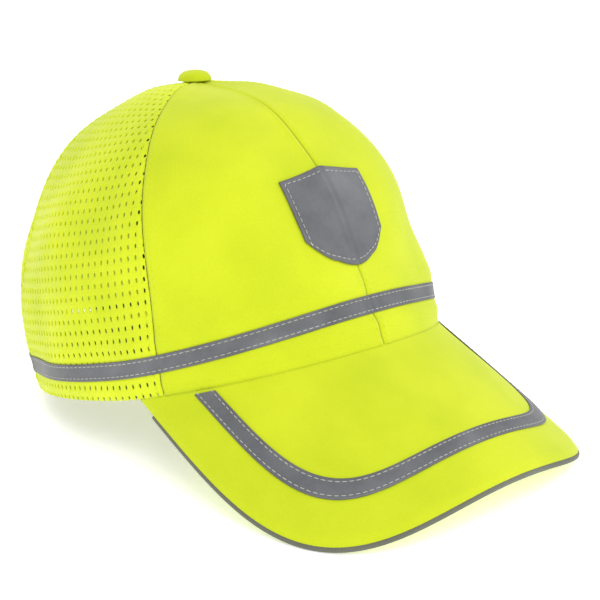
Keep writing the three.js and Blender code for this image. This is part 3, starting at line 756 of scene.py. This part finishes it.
def frontBadge():
    across, share = np.meshgrid(np.linspace(-1, 1, 71), np.linspace(0, 1, 61), indexing="ij")
    theta, t = badgePlace(across, share)
    edge = np.minimum((1 - np.abs(across)) * badge["width"] / 2, np.minimum(share, 1 - share) * badge["height"])
    lift = 1.0 - 0.3 * hump(edge, 0, 0.4) - 0.15 * hump(edge, badge["inset"], 0.45)
    lift += 0.38 * hump(across * badge["width"] / 2, 0, 0.7)  # the stiff badge bridges the seam
    points = outside(theta, t, lift)
    place(gridMesh("frontBadge", points, alongRows(points)), greyTape, "cap", "reflective_tape", ["front_badge"], 0.55)
    a, s = 1 - badge["inset"] / (badge["width"] / 2), badge["inset"] / badge["height"]
    corners = [(-a, s), (a, s), (a, 1 - s), (-a, 1 - s), (-a, s)]
    line = np.concatenate([np.linspace(p, q, 60) for p, q in zip(corners, corners[1:])])
    theta, t = badgePlace(line[:, 0], line[:, 1])
    stitches("badgeStitches", [crownRow(theta, t, 0.98)], paleThread, "cap")


frontBadge()
print("badge made")

brimShape = (brim["halfWidth"], brim["length"], brim["power"])
cover = {"thick": 0.55, "underFoot": 4.4, "topRoll": 0.9, "underRoll": -1.2, "tuck": 1.5, "wave": 0.25}
brimTapeLine = {"halfWidth": 79.2, "length": 56.7, "power": 5, "room": 0.9, "lift": 0.72}
piping = {"out": 0.2, "depth": 2.3, "radius": 1.35, "height": 1.15}


def clearOfCrown(p):
    theta = np.arctan2(p[..., 0] / crown["halfWidth"], -p[..., 1] / crown["front"])
    t = np.where(p[..., 2] > rimHeight(theta), levelAt(crownPoint, theta, p[..., 2]), 0)
    nearest = np.maximum(fromAxis(crownPoint(theta, 0)), fromAxis(crownPoint(theta, t)))
    return fromAxis(p) - nearest


def brimRoot(w, depth, room):
    w = np.asarray(w, float)
    return solve(lambda s: clearOfCrown(brimPoint(w, s, depth)) - room, -54, brim["tail"], w.shape)


def outline(shape, angle):
    halfWidth, length, power = shape
    w = halfWidth * np.sign(angle) * np.abs(np.sin(angle)) ** (2 / power)
    return w, -brim["tail"] + (length + brim["tail"]) * np.abs(np.cos(angle)) ** (2 / power)


def outlineAngles(shares, shape, depth, room):
    angles = np.linspace(45 * degree, 89.9 * degree, 120)
    w, s = outline(shape, angles)
    stop = np.interp(0, brimRoot(w, depth, room) - s, angles)
    near, far = np.abs(shares) ** 1.6, (1 - np.abs(shares)) ** 1.6
    return np.sign(shares) * stop * near / (near + far)


def brimSheet(name, node, depth, roll, flip, tuck):
    # depth is the outer face's, roll how far it curls over at the brim's edge, and tuck how far its root
    # goes in under the crown.
    angles = outlineAngles(np.linspace(-0.985, 0.985, 150), brimShape, 0, 0.3)
    w, tip = outline(brimShape, angles)
    root = brimRoot(w, depth, 0.25) - tuck
    share = 1 - (1 - np.linspace(0, 1, 64)) ** 1.5
    s = mix(root[:, None], tip[:, None], share[None, :])
    ww = np.broadcast_to(w[:, None], s.shape)
    ahead = np.maximum(s + brim["tail"], 0) / (brim["length"] + brim["tail"])
    edge = np.maximum(0, 1 - (np.abs(ww) / brim["halfWidth"]) ** brim["power"] - ahead ** brim["power"]) * 22
    soft = np.sin(ww / 17 + 1) * np.sin(s / 15) * ease(edge, 0, 10) * ease(s - root[:, None], 0, 12)
    points = brimPoint(ww, s, depth + roll * hump(edge, 0, 1.6) + cover["wave"] * soft)
    return place(gridMesh(name, points, np.stack([ww, s], -1), flip=flip), limeWoven, "cap", "solid_cloth", [node],
                 cover["thick"])


def brimBand(shares, columns):
    # Places on the brim in the band that its tape takes up.
    ends = []
    for inset in (tape["width"], 0):
        shape = (brimTapeLine["halfWidth"] - inset, brimTapeLine["length"] - inset, brimTapeLine["power"])
        angles = outlineAngles(np.linspace(-1, 1, columns), shape, 0, brimTapeLine["room"])
        ends.append(np.stack(outline(shape, angles), -1)[:, None])
    return mix(*ends, shares[None, :, None])


def brimCovers():
    top = brimSheet("brimTopCover", "brim_top_cover", 0.0, cover["topRoll"], True, cover["tuck"])
    under = brimSheet("brimUnderCover", "brim_under_cover", cover["underFoot"], cover["underRoll"], False, 0.0)


def brimTape():
    spots = brimBand(tapeShares, 260)
    points = brimPoint(spots[..., 0], spots[..., 1], -tapeLift(tapeShares, brimTapeLine["lift"]))
    place(gridMesh("brimTape", points, alongRows(points), flip=True), greyTape, "cap", "reflective_tape",
          ["brim_tape"], tape["thick"])
    inset = tape["stitchInset"] / tape["width"]
    rows = []
    for share in (inset, 1 - inset):
        line = brimBand(np.array([share]), 500)[:, 0]
        p = brimPoint(line[:, 0], line[:, 1], -0.66)
        rows.append((p, brimPoint(line[:, 0], line[:, 1], -1.66) - p))
    stitches("brimTapeStitches", rows, paleThread, "cap")


def brimPiping():
    # Bias cloth round a thin cord, sewn in between the two covers.
    shape = (brim["halfWidth"] + piping["out"], brim["length"] + piping["out"], brim["power"])
    angles = outlineAngles(np.linspace(-1, 1, 300), shape, piping["depth"], 1.6)
    turn = np.linspace(0, 2 * math.pi, 13)
    w, s = outline(shape, angles)
    reach, steep = shape[1] + brim["tail"], brim["power"] - 1
    inward = np.stack([-np.sign(w) * (np.abs(w) / shape[0]) ** steep / shape[0],
                       -(np.maximum(s + brim["tail"], 0) / reach) ** steep / reach], -1)
    inward /= np.linalg.norm(inward, axis=-1, keepdims=True)
    out = piping["radius"] * np.cos(turn)
    ww = w[:, None] - inward[:, :1] * out[None, :]
    ss = s[:, None] - inward[:, 1:] * out[None, :]
    points = brimPoint(ww, ss, piping["depth"] - piping["height"] * np.sin(turn)[None, :])
    uv = np.stack(np.broadcast_arrays(np.arange(300)[:, None] * 1.2, turn[None, :] * 1.3), -1)
    tube = gridMesh("brimPiping", points, uv, flip=True, weld=True)
    capEnds(tube)
    place(tube, greyPiping, "cap", "piping", ["brim_edge_piping"])


def capEnds(made):
    bm = bmesh.new()
    bm.from_mesh(made)
    bmesh.ops.holes_fill(bm, edges=[e for e in bm.edges if e.is_boundary], sides=0)
    bmesh.ops.recalc_face_normals(bm, faces=bm.faces)
    bm.to_mesh(made)
    bm.free()


brimCovers()
brimTape()
brimPiping()
print("brim made")

button = {"radius": 7.6, "height": 4.6, "pleats": 14, "pleatDepth": 0.18}


def buttonCover():
    turn = np.linspace(0, 2 * math.pi, 113)
    climb = np.concatenate([[-0.28, -0.16], np.linspace(0, 1, 22)])
    a = climb[None, :] * math.pi / 2
    radius = np.where(climb < 0, button["radius"] * (1 + climb * 0.9), button["radius"] * np.cos(a[0]) ** 0.75)
    height = np.where(climb < 0, -0.1, (button["height"] + 0.1) * np.sin(a[0]) ** 0.9)
    pleat = 1 - button["pleatDepth"] / button["radius"] * np.maximum(np.cos(turn[:, None] * button["pleats"]), 0) ** 2 \
        * np.clip(1 - climb[None, :] * 1.6, 0, 1)
    r = radius[None, :] * pleat
    x, y = r * np.sin(turn[:, None]), -r * np.cos(turn[:, None])
    z = 0.7 + height[None, :] * np.ones((len(turn), 1))
    c, s = math.cos(crown["topLean"]), math.sin(crown["topLean"])
    points = np.stack([x, crown["apexBack"] + y * c - z * s, crown["height"] + y * s + z * c], -1)
    uv = np.stack([x, y], -1)
    place(gridMesh("buttonCover", points, uv, ring=True, weld=True), limeWoven, "cap", "solid_cloth",
          ["button_cover"], 0.5)


buttonCover()
print("button made")

binding = {"stitchInset": 2.3, "profile": [
    (-3.4, 0.2), (-3.4, 0.62), (-1.5, 0.85), (0.5, 0.8), (1.15, 0.1), (1.2, -0.8), (0.6, -1.6),
    (-1.5, -1.75), (-3.4, -1.5), (-3.4, -1.0), (-1.5, -0.95), (0.1, -0.8), (0.1, 0.1), (-1.5, 0.2)]}


def rearBinding():
    # Bias tape folded round the raw edge of the opening, seen as one closed profile drawn along it.
    turns = np.linspace(0, math.pi, 150)
    inset, lift = np.array(binding["profile"] + binding["profile"][:1]).T
    behind = (crown["archHalfAngle"] - inset[None, :] / crown["back"]) * np.cos(turns[:, None])
    height = (crown["archHeight"] - inset[None, :]) * np.sin(turns[:, None])
    theta = math.pi - behind
    t = np.where(height > 0, levelAt(crownPoint, theta, height), 0)
    points = outside(theta, t, lift)
    girth = np.concatenate([[0], np.cumsum(np.hypot(np.diff(inset), np.diff(lift)))])
    uv = np.stack(np.broadcast_arrays(turns[:, None] * 55, girth[None, :]), -1)
    tube = gridMesh("rearBinding", points, uv, weld=True)
    capEnds(tube)
    place(tube, limeWoven, "cap", "solid_cloth", ["rear_arch_binding"])
    line = np.linspace(0.04, math.pi - 0.04, 220)
    theta = math.pi - (crown["archHalfAngle"] + binding["stitchInset"] / crown["back"]) * np.cos(line)
    height = (crown["archHeight"] + binding["stitchInset"]) * np.sin(line)
    stitches("bindingStitches", [crownRow(theta, levelAt(crownPoint, theta, height), 0.78)], limeThreadGlow, "cap")


rearBinding()
print("rear binding made")

band = {"height": 32.0, "end": 43 * degree, "depth": 2.0, "thick": 1.5}


def wall(top):
    def surface(theta, share):
        theta, share = alike(theta, share)
        head = crownPoint(theta, levelAt(crownPoint, theta, top))
        return mix(crownPoint(theta, 0), head, share[..., None])
    return surface


def wallStrip(name, top, start, end, span, depth, columns, rows, inward=False, wave=0.0):
    theta = np.linspace(start, end, columns)[:, None] * np.ones((1, rows))
    share = np.ones((columns, 1)) * np.linspace(span[0], span[1], rows)[None, :]
    edge = np.minimum(share - span[0], span[1] - share) * top
    push = depth + wave * np.sin(theta * 46) * np.sin((share - span[0]) / (span[1] - span[0]) * math.pi)
    push = push + (-1 if inward else 1) * 0.25 * hump(edge, 0, 0.5)
    points = above(wall(top), theta, share, -push)
    return gridMesh(name, points, alongRows(points), flip=inward)


def bandRow(line, share, depth):
    face = wall(band["height"])
    return above(face, line, share, -depth), -normalAt(face, line, np.full(line.shape, share))


def sweatbandPieces():
    end = math.pi - band["end"]
    made = wallStrip("sweatband", band["height"], -end, end, (0, 1), band["depth"] + band["thick"], 420, 22,
                     inward=True, wave=0.12)
    obj = place(made, bandCloth, "cap", "band_cloth", ["sweatband"], 1.3)
    rows = []
    for share in (0.08, 0.93):
        rows.append(bandRow(np.linspace(-end + 0.01, end - 0.01, 500), share, 3.55))
    thread = stitches("sweatbandStitches", rows, paleThread, "cap")
    start = -end + 4 * degree
    label = wallStrip("careLabel", band["height"], start, start + 26 / crown["back"], (0.25, 0.8125), 4.15, 24, 16,
                      inward=True)
    obj = place(label, labelSatin, "cap", "label", ["care_label"], 0.3)
    line = np.linspace(start + 0.01, start + 25 / crown["back"], 30)
    stitches("labelStitches", [bandRow(line, 0.77, 4.2)], paleThread, "cap")


seamTape = {"width": 10.0, "depth": 2.5, "thick": 0.45, "foot": 36.0, "top": 12.5, "archRoom": 2.7}


def seamTapes():
    names = {"front": 0, "side_left": crown["sideSeam"], "side_right": -crown["sideSeam"],
             "rear_left": crown["rearSeam"], "rear_right": -crown["rearSeam"], "rear": math.pi}
    for word, seam in names.items():
        start = max(seamTape["foot"], float(footHeight(np.array([seam]))[0]) + seamTape["archRoom"])
        foot = float(levelAt(crownPoint, np.array([seam]), start)[0])
        top = float(levelAtRadius(crownPoint, np.array([seam]), seamTape["top"])[0])
        t = np.linspace(foot, top, 60)[None, :] * np.ones((11, 1))
        across = np.linspace(-0.5, 0.5, 11)[:, None] * seamTape["width"]
        theta = seam + across / fromAxis(crownPoint(seam, t))
        ridge = 0.075 * hump(np.abs(across), 3.2, 0.6)
        points = above(crownPoint, theta, t, -seamTape["depth"] - ridge)
        obj = place(gridMesh(f"seamTape_{word}", points, alongRows(points), flip=True), bandCloth, "cap", "band_cloth",
                    [f"seam_tape_{word}"], seamTape["thick"])


sweatbandPieces()
seamTapes()
print("rim made")

closure = {"width": 22.0, "end": 41 * degree, "peel": 24.5 * degree, "tip": -24 * degree, "loopTip": 20 * degree,
           "hookLength": 20 * degree}


strapStitch = {"length": 2.2, "gap": 0.6, "width": 0.5, "height": 0.35}


def strapStitches(name, start, end, shares, depth, body):
    rows = []
    for share in shares:
        line = np.linspace(start, end, 160)
        out = normalAt(wall(closure["width"]), line, np.full(160, share))
        rows.append((above(wall(closure["width"]), line, share, -depth), out))
    return stitches(name, rows, limeThreadGlow, body, strapStitch)


def closurePieces():
    def behind(angle):
        return math.pi - angle

    hook = wallStrip("hookStrap", closure["width"], behind(closure["end"]), behind(closure["tip"]), (0.1, 1), 2.05,
                     180, 16)
    obj = place(hook, limeWoven, None, "solid_cloth", ["hook_strap_root", "hook_strap"], 0.9)
    threads = strapStitches("hookStrapStitches", behind(closure["end"]) + 0.02, behind(closure["tip"]) - 0.02,
                            (0.2, 0.92), 2.0, None)
    bend = [toRow(above(wall(closure["width"]), behind(angle), 0.55, -2.5)) for angle in
            (closure["peel"] + 1.6 * degree, closure["peel"] - 1.6 * degree)]
    for item in (obj, threads):
        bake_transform(item)
    lower = wallStrip("loopStrap", closure["width"], behind(closure["loopTip"]), behind(-closure["end"]), (0, 1), 5.55,
                      170, 16)
    obj = place(lower, limeWoven, "cap", "solid_cloth", ["loop_strap"], 0.9)
    threads = strapStitches("loopStrapStitches", behind(closure["loopTip"]) + 0.02, behind(-closure["end"]) - 0.02,
                            (0.1, 0.92), 5.5, "cap")
    margin = 2 * degree
    for name, material, slotName, node, body, start, end, depth in (
            ("hookPatch", hookTape, "hook_tape", "hook_patch", "strap_flap", closure["tip"] + closure["hookLength"],
             closure["tip"] + margin, 4.05),
            ("loopPatch", loopPile, "loop_pile", "loop_patch", "cap", closure["loopTip"] - margin,
             closure["tip"] + margin, 4.45)):
        inward = node == "hook_patch"
        made = wallStrip(name, closure["width"], behind(start), behind(end), (0.14, 0.91), depth, 90, 14,
                         inward=inward)
        obj = place(made, material, body, slotName, [node], 0.65)


closurePieces()
print("closure made")

insert = {"gap": 3.6, "topDrop": 3.0, "mouthRoom": 7.6, "shell": 2.2, "edge": [31, 35, 40, 44, 45], "ventCount": 10,
          "ventLength": 22.0, "ventWidth": 8.0, "ventHeight": 80.0, "foam": 6.0, "foamTop": 3.4, "padRadius": 40.0,
          "padEdge": 2.6, "trim": 1.6}
insertEdgeAt = around(insert["edge"])


def insertPoint(theta, t):
    theta, t = alike(theta, t)
    p = above(crownPoint, theta, t, -(insert["gap"] + insert["topDrop"] * t ** 4))
    depth = np.where(p[..., 1] < 0, crown["front"], crown["back"]) - insert["mouthRoom"]
    level = np.hypot(p[..., 0] / (crown["halfWidth"] - insert["mouthRoom"]), p[..., 1] / depth)
    draw = (1 + level ** 12) ** (-1 / 12)
    return np.stack([p[..., 0] * draw, mix(crown["apexBack"], p[..., 1], draw), p[..., 2]], -1)


def insertShell():
    columns, rows = 217, 66
    theta = np.linspace(-math.pi, math.pi, columns)
    foot = levelAt(insertPoint, theta, insertEdgeAt(theta))
    t = mix(foot[:, None], 1.0, np.linspace(0, 1, rows)[None, :])
    theta = theta[:, None] * np.ones((1, rows))
    bm = bmesh.new()
    made = bpy.data.meshes.new("insertShell")
    index = np.arange(columns * rows).reshape(columns, rows)
    quads = np.stack([index[:-1, :-1], index[1:, :-1], index[1:, 1:], index[:-1, 1:]], -1).reshape(-1, 4)
    flat = np.stack([theta, t, 0 * t], -1).reshape(-1, 3)
    made.from_pydata(flat.tolist(), [], quads.tolist())
    bm.from_mesh(made)

    def ventRoom(theta, t):
        # How far outside the nearest vent a place on the shell is.
        p = insertPoint(theta, t)
        room = np.full(len(p), 99.0)
        for i in range(insert["ventCount"]):
            angle = (i + 0.5) * 2 * math.pi / insert["ventCount"]
            at = float(levelAt(insertPoint, np.array([angle]), insert["ventHeight"])[0])
            centre = insertPoint(angle, at)
            up = insertPoint(angle, at + 0.01) - insertPoint(angle, at - 0.01)
            up /= np.linalg.norm(up)
            side = np.cross(up, normalAt(insertPoint, np.array([angle]), np.array([at]))[0])
            d = p - centre
            half = insert["ventWidth"] / 2
            long = np.maximum(np.abs(d @ up) - (insert["ventLength"] / 2 - half), 0)
            room = np.minimum(room, np.hypot(long, d @ side) - half)
        return room

    def spots():
        return (np.array([v.co[axis] for v in bm.verts]) for axis in (0, 1))

    for v, f in zip(bm.verts, ventRoom(*spots())):
        v.co.z = f
    bmesh.ops.bisect_plane(bm, geom=bm.verts[:] + bm.edges[:] + bm.faces[:], dist=1e-7, plane_co=(0, 0, 0),
                           plane_no=(0, 0, 1), clear_inner=True)
    theta, t = spots()
    points = toRow(above(insertPoint, theta, t, 0.35 * hump(ventRoom(theta, t), 0.8, 1.2)))
    for v, p in zip(bm.verts, points):
        v.co = p
    bmesh.ops.remove_doubles(bm, verts=bm.verts, dist=1e-5)
    bm.to_mesh(made)
    bm.free()
    place(made, paleAbsLimeGlow, "insert", "insert_plastic", ["insert_shell"], insert["shell"])


def insertTrim():
    theta, turn = alike(np.linspace(-math.pi, math.pi, 181)[:, None], np.linspace(0, 2 * math.pi, 17)[None, :])
    across, up = (np.sign(v) * np.abs(v) ** 0.6 for v in (np.cos(turn), np.sin(turn)))  # a squared-off circle
    height = insertEdgeAt(theta) - 1.8 + 1.5 * up
    depth = insert["shell"] / 2 - insert["trim"] * across
    t = levelAt(insertPoint, theta, height)
    points = above(insertPoint, theta, t, -depth)
    place(gridMesh("insertTrim", points, np.stack([theta * 80, turn * 2], -1), ring=True, weld=True), edgeRubber,
          "insert", "edge_rubber", ["insert_edge_trim"])


def padded(name, node, theta, t, rim, swell, ring=False):
    # rim is 0 at the pad's edge and 1 inside it, and the two faces meet in a rounded edge.
    half = insert["foam"] / 2 * np.sqrt(np.clip(1 - (1 - rim) ** 4, 0, 1))
    middle = insert["foamTop"] + insert["foam"] / 2
    outer = above(insertPoint, theta, t, -(middle - half))
    inner = above(insertPoint, theta, t, -(middle + half + swell * rim))
    pad = gridMesh(name, outer, outer[..., :2], ring=ring)
    weldMesh(pad, [gridMesh(name + "_in", inner, inner[..., :2], flip=True, ring=ring)])
    place(pad, darkFoam, "insert", "foam", [node])


def foamPads():
    for name, node, start, end, foot, head in (("frontPad", "front_pad", -48, 48, 36, 60),
                                               ("rearPad", "rear_pad", 146, 214, 49, 66),
                                               ("leftPad", "left_pad", 70, 122, 46, 64),
                                               ("rightPad", "right_pad", -122, -70, 46, 64)):
        u = np.sin(np.linspace(-1, 1, 61) * math.pi / 2)
        v = np.sin(np.linspace(-1, 1, 31) * math.pi / 2)
        theta = ((start + end) / 2 + u * (end - start) / 2)[:, None] * degree * np.ones((1, 31))
        height = ((foot + head) / 2 + v * (head - foot) / 2)[None, :] * np.ones((61, 1))
        t = levelAt(insertPoint, theta, height)
        wide = (1 - np.abs(u)) * abs(end - start) / 2 * degree * 80
        tall = (1 - np.abs(v)) * (head - foot) / 2
        rim = np.clip(np.minimum(wide[:, None], tall[None, :]) / insert["padEdge"], 0, 1)
        swell = 0.7 * (1 - u[:, None] ** 2) * (1 - v[None, :] ** 2)
        padded(name, node, theta, t, rim, swell)
    theta = np.linspace(-math.pi, math.pi, 73)
    edge = levelAtRadius(insertPoint, theta, insert["padRadius"])
    share = 1 - np.cos(np.linspace(0, 1, 30) * math.pi / 2)
    t = mix(edge[:, None], 1.0, share[None, :])
    rim = np.clip(share[None, :] * insert["padRadius"] / insert["padEdge"], 0, 1)
    padded("crownPad", "crown_pad", theta[:, None] * np.ones((1, 30)), t, rim, 0.4, ring=True)


insertShell()
insertTrim()
foamPads()
print("insert made")


seamStitch = {"length": 2.3, "gap": 0.9, "width": 0.36, "height": 0.22, "top": 0.955, "buttonRoom": 8.5}


def seamStitches():
    rows = []
    for seam in seamAngles:
        for side in (-1, 1):
            start = np.array([seam])
            foot = float(levelAt(crownPoint, start, max(float(footHeight(start)[0]) + 1, 2.0))[0])
            t = np.linspace(foot, seamStitch["top"], 220)
            t = t[fromAxis(crownPoint(seam, t)) > seamStitch["buttonRoom"]]
            rows.append(crownRow(seam + side * seamFold["stitchAt"] / fromAxis(crownPoint(seam, t)), t, 0.02))
    stitches("seamStitches", rows, limeThreadGlow, "cap", seamStitch)


seamStitches()
for node, material, slotName in (("brim_board", brimPlastic, "brim_plastic"),
                                 ("button_core", brushedMetal, "button_metal"),
                                 ("button_rivet", brushedMetal, "button_metal")):
    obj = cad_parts[node]
    obj.data.materials.clear()
    obj.data.materials.append(material)
print("details made")


studio = {"floorEdge": 3.0, "floorGlow": 0.45, "world": 0.68, "aim": (0, 0, 0.06), "lamps": (
    ("key", (-0.5, -0.9, 1.2), 0.9, 9), ("fill", (0.9, -0.4, 0.8), 1.0, 3.5), ("back", (0.2, 1.1, 1.0), 1.0, 4))}


def stageScene():
    floorMesh = bpy.data.meshes.new("floor")
    edge = studio["floorEdge"]
    corners = [(-edge, -edge, 0), (edge, -edge, 0), (edge, edge, 0), (-edge, edge, 0)]
    floorMesh.from_pydata(corners, [], [(0, 1, 2, 3)])
    floor = newObject("floor", floorMesh)
    floorMesh.materials.append(newMaterial("paleFloor", "FFFFFF", 0.9, Emission_Strength=studio["floorGlow"],
                                           Emission_Color=linear("FFFFFF"))[0])
    world = bpy.data.worlds.new("studio")
    bpy.context.scene.world = world
    world.use_nodes = True
    bpy.context.scene.view_settings.view_transform = "Standard"
    background = world.node_tree.nodes["Background"]
    background.inputs[0].default_value = (1, 1, 1, 1)
    background.inputs[1].default_value = studio["world"]
    for name, at, size, power in studio["lamps"]:
        light = bpy.data.lights.new(name, "AREA")
        light.energy, light.size = power, size
        lamp = newObject(name, light)
        lamp.location = at
        lamp.rotation_euler = (Vector(studio["aim"]) - Vector(at)).to_track_quat("-Z", "Y").to_euler()


view = {"azimuth": -43.975, "elevation": 17.399, "distance": 0.6002, "lens": 80.63, "roll": 1.529,
        "aim": (0.01262, -0.0029, 0.0523)}


def makeCamera():
    data = bpy.data.cameras.new("camera")
    camera = newObject("camera", data)
    a, e = view["azimuth"] * degree, view["elevation"] * degree
    back = Vector((math.sin(a) * math.cos(e), -math.cos(a) * math.cos(e), math.sin(e)))
    camera.location = Vector(view["aim"]) + back * view["distance"]
    turn = (-back).to_track_quat("-Z", "Y").to_matrix() @ Matrix.Rotation(view["roll"] * degree, 3, "Z")
    camera.rotation_euler = turn.to_euler()
    data.lens, data.sensor_width = view["lens"], 36
    data.clip_start, data.clip_end = 0.01, 20
    bpy.context.scene.camera = camera


stageScene()
makeCamera()
print("stage made")
